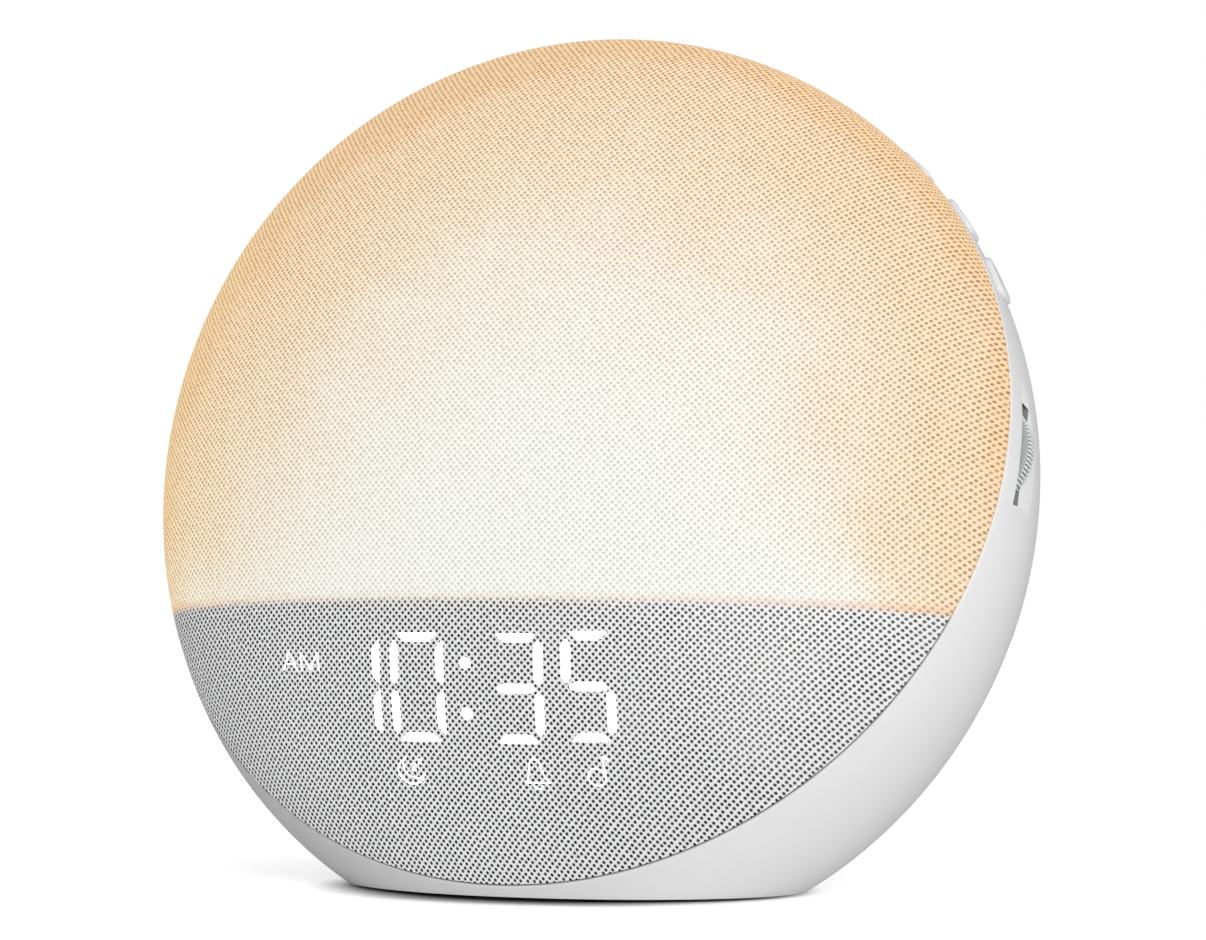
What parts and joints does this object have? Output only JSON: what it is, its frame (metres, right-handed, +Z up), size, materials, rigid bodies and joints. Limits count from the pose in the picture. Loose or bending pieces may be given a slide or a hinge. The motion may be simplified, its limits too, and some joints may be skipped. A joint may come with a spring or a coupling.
{
  "type": "sunrise alarm clock",
  "caption": "Oval bedside wake-up light on a flat base: lit fabric dome over a horizon line, digits below it, side keys and thumbwheels.",
  "frame": {"origin": "centre of the resting face, under the middle of the body, on the surface it stands on", "axes": "+Z up, +X to the right of the person reading it, -Y towards that person"},
  "size_m": [0.1672, 0.1106, 0.1524],
  "materials": {
    "white_shell": "satin moulded ABS",
    "base_plastic": "satin moulded ABS",
    "foot_rubber": "matt silicone",
    "foot_rubber_black": "matt butyl",
    "frame_plastic": "matt moulded ABS",
    "woven_cover": "open woven polyester",
    "diffuser_plastic": "opal polycarbonate",
    "smoked_plastic": "smoked polycarbonate",
    "white_moulding": "matt white ABS",
    "lamp_board": "white solder mask",
    "led_body": "phosphor resin",
    "black_plastic": "matt moulded",
    "light_guide": "polished acrylic",
    "circuit_board": "green solder mask",
    "ribbon": "grey PVC",
    "chip_black": "moulded epoxy",
    "nickel_steel": "nickel plated",
    "screw_steel": "zinc plated",
    "wire_red": "PVC insulation",
    "wire_black": "PVC insulation",
    "foam_black": "closed-cell foam",
    "dark_steel": "powder coated",
    "ferrite": "sintered ferrite",
    "spider_cloth": "resined cotton",
    "cone_paper": "pressed pulp",
    "copper_winding": "enamelled copper",
    "encoder_plastic": "moulded",
    "key_strip": "polyimide",
    "white_key": "satin moulded ABS",
    "white_wheel": "satin moulded ABS"
  },
  "bodies": {
    "clock": {"rear_housing": "white_shell", "base_plate": "base_plastic", "rubber_foot": "foot_rubber", "base_screws": "screw_steel", "front_frame": "frame_plastic", "case_screws": "screw_steel", "fabric_cover": "woven_cover", "light_diffuser": "diffuser_plastic", "display_window": "smoked_plastic", "dome_screws": "screw_steel", "horizon_baffle": "white_moulding", "reflector_tray": "white_moulding", "lamp_board": "lamp_board", "lamps": "led_body", "front_screws": "screw_steel", "light_block": "black_plastic", "light_bars": "light_guide", "display_board": "circuit_board", "display_lamps": "led_body", "display_screws": "screw_steel", "display_ribbon": "ribbon", "main_board": "circuit_board", "board_parts": "chip_black", "cell_holder": "black_plastic", "coin_cell": "nickel_steel", "board_screws": "screw_steel", "power_inlet": "black_plastic", "inlet_pin": "nickel_steel", "inlet_nut": "nickel_steel", "power_lead": "wire_red", "lamp_lead": "wire_red", "speaker_lead": "wire_black", "side_leads": "ribbon", "speaker_gasket": "foam_black", "speaker_basket": "dark_steel", "speaker_magnet": "ferrite", "speaker_yoke": "dark_steel", "speaker_surround": "foot_rubber_black", "speaker_spider": "spider_cloth", "speaker_cone": "cone_paper", "dust_cap": "cone_paper", "voice_coil": "copper_winding", "speaker_screws": "screw_steel", "right_key_bracket": "frame_plastic", "left_key_bracket": "frame_plastic", "right_key_strip": "key_strip", "left_key_strip": "key_strip", "wheel_encoders": "encoder_plastic", "wheel_brackets": "frame_plastic", "bracket_screws": "screw_steel"},
    "right_key_1_body": {"right_key_1": "white_key"},
    "right_key_2_body": {"right_key_2": "white_key"},
    "right_key_3_body": {"right_key_3": "white_key"},
    "right_thumbwheel": {"right_wheel": "white_wheel", "right_shaft": "nickel_steel"},
    "left_key_1_body": {"left_key_1": "white_key"},
    "left_key_2_body": {"left_key_2": "white_key"},
    "left_key_3_body": {"left_key_3": "white_key"},
    "left_thumbwheel": {"left_wheel": "white_wheel", "left_shaft": "nickel_steel"}
  },
  "joints": [
    {"name": "right_key_1_press", "type": "slide", "parent": "clock", "child": "right_key_1_body", "axis": [-0.6884, -0.26, -0.6772], "range_m": [0, 0.0006], "stiffness_N_per_m": 300, "springref_m": -0.0003},
    {"name": "right_key_2_press", "type": "slide", "parent": "clock", "child": "right_key_2_body", "axis": [-0.8039, -0.2132, -0.5553], "range_m": [0, 0.0006], "stiffness_N_per_m": 300, "springref_m": -0.0003},
    {"name": "right_key_3_press", "type": "slide", "parent": "clock", "child": "right_key_3_body", "axis": [-0.8949, -0.1599, -0.4166], "range_m": [0, 0.0006], "stiffness_N_per_m": 300, "springref_m": -0.0003},
    {"name": "left_key_1_press", "type": "slide", "parent": "clock", "child": "left_key_1_body", "axis": [0.6884, -0.26, -0.6772], "range_m": [0, 0.0006], "stiffness_N_per_m": 300, "springref_m": -0.0003},
    {"name": "left_key_2_press", "type": "slide", "parent": "clock", "child": "left_key_2_body", "axis": [0.8039, -0.2132, -0.5553], "range_m": [0, 0.0006], "stiffness_N_per_m": 300, "springref_m": -0.0003},
    {"name": "left_key_3_press", "type": "slide", "parent": "clock", "child": "left_key_3_body", "axis": [0.8949, -0.1599, -0.4166], "range_m": [0, 0.0006], "stiffness_N_per_m": 300, "springref_m": -0.0003},
    {"name": "right_wheel_turn", "type": "hinge", "parent": "clock", "child": "right_thumbwheel", "pos_m": [0.07267, -0.00196, 0.07534], "axis": [0, -0.9336, 0.3584], "continuous": true},
    {"name": "left_wheel_turn", "type": "hinge", "parent": "clock", "child": "left_thumbwheel", "pos_m": [-0.07267, -0.00196, 0.07534], "axis": [0, -0.9336, 0.3584], "continuous": true}
  ]
}
